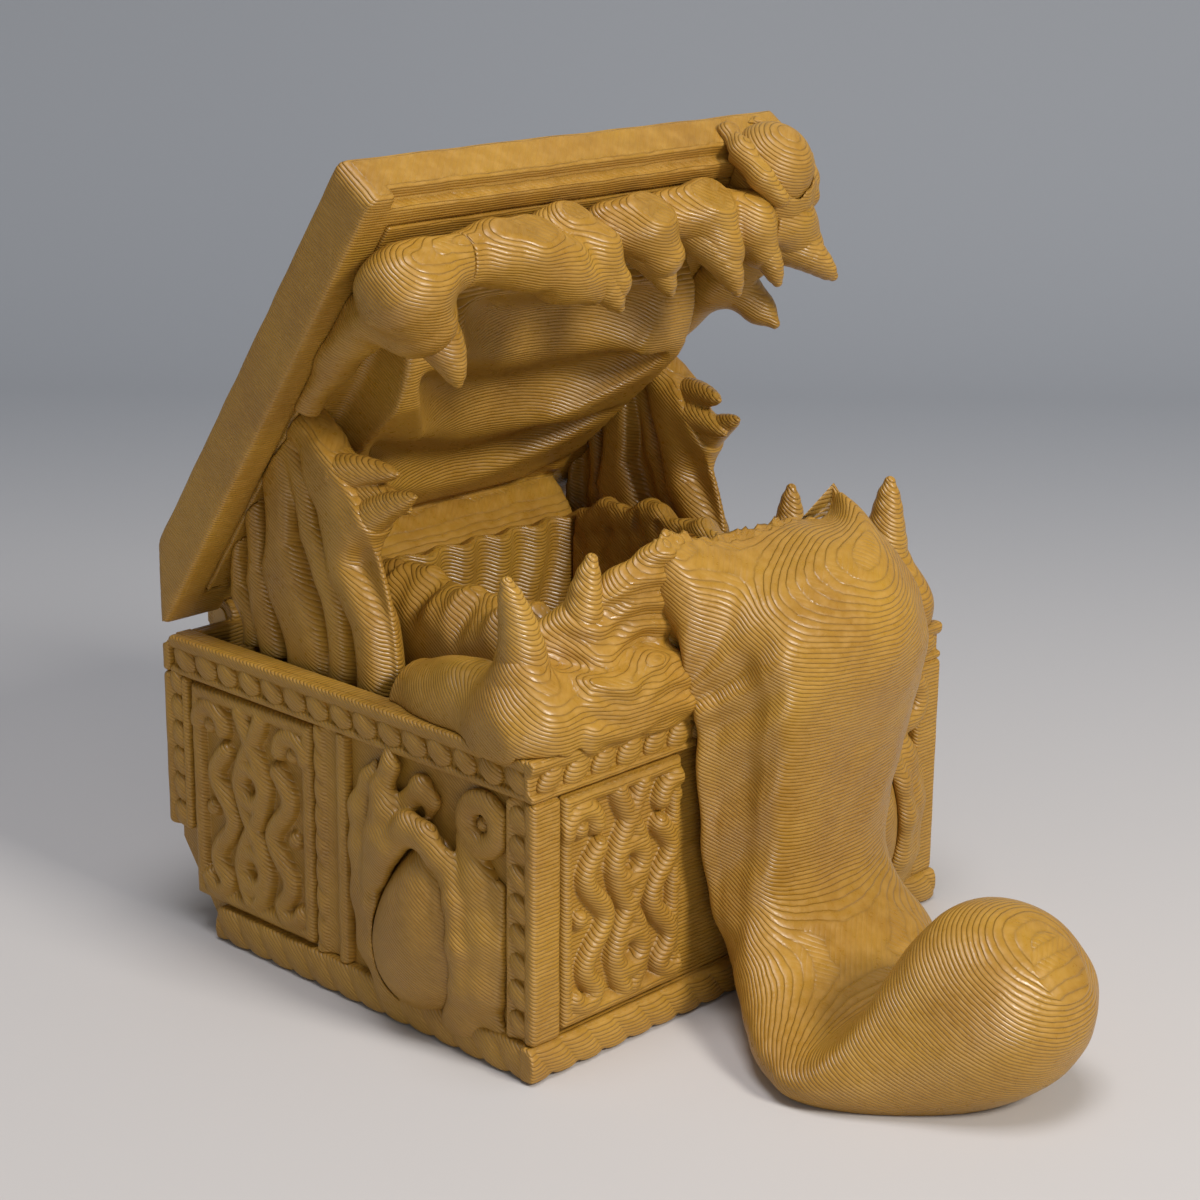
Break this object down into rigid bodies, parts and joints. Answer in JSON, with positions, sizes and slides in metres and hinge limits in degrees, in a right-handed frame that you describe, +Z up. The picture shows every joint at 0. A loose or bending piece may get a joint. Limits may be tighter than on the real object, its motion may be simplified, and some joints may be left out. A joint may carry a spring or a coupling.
{
  "type": "dice box with hinged lid",
  "caption": "Toothed treasure chest dice box: a hinged lid with a vaulted palate closes over a square well, and a tongue hangs out over the front.",
  "frame": {"origin": "centre of the chest's footprint, on the table", "axes": "-Y towards the chest's front, where the tongue hangs out; +X to the right of someone facing the front; +Z up"},
  "size_m": [0.0528, 0.0758, 0.0656],
  "materials": {
    "chest_print": "ochre filament print, semi-gloss, layer lines level with the table",
    "flesh_print": "ochre filament print, semi-gloss, layer lines level with the table",
    "fang_print": "ochre filament print, semi-gloss, layer lines and fine stringing",
    "pin_filament": "a cut length of the same filament, smooth"
  },
  "bodies": {
    "chest": {"floor_plate": "chest_print", "heel_plate": "chest_print", "front_wall": "chest_print", "rear_wall": "chest_print", "left_wall": "chest_print", "right_wall": "chest_print", "front_plinth": "chest_print", "left_plinth": "chest_print", "right_plinth": "chest_print", "front_rail": "chest_print", "left_rail": "chest_print", "right_rail": "chest_print", "rear_rail": "chest_print", "left_front_post": "chest_print", "right_front_post": "chest_print", "left_rear_post": "chest_print", "right_rear_post": "chest_print", "left_strap": "chest_print", "right_strap": "chest_print", "front_panel": "chest_print", "left_panel": "chest_print", "right_panel": "chest_print", "rear_panel": "chest_print", "left_eye": "chest_print", "left_eyelids": "chest_print", "right_eye": "chest_print", "right_eyelids": "chest_print", "front_eye": "chest_print", "front_eyelids": "chest_print", "left_well_side": "flesh_print", "right_well_side": "flesh_print", "throat": "flesh_print", "tongue": "flesh_print", "left_gum": "flesh_print", "right_gum": "flesh_print", "left_corner_fang": "fang_print", "left_front_fang": "fang_print", "left_small_fang": "fang_print", "right_corner_fang": "fang_print", "right_small_fang": "fang_print", "right_side_fang": "fang_print", "hinge_pin": "pin_filament"},
    "lid": {"lid_shell": "chest_print", "palate": "flesh_print", "left_cheek": "flesh_print", "right_cheek": "flesh_print", "left_cheek_teeth": "fang_print", "right_cheek_teeth": "fang_print", "upper_front_gum": "flesh_print", "upper_left_gum": "flesh_print", "upper_right_gum": "flesh_print", "upper_fang_1": "fang_print", "upper_fang_2": "fang_print", "upper_fang_3": "fang_print", "upper_fang_4": "fang_print", "upper_fang_5": "fang_print", "upper_fang_6": "fang_print", "lid_eye": "chest_print", "lid_eyelids": "chest_print"}
  },
  "joints": [
    {"name": "lid_hinge", "type": "hinge", "parent": "chest", "child": "lid", "pos_m": [0, 0.0215, 0.025], "axis": [1, 0, 0], "range_deg": [0, 19]}
  ]
}
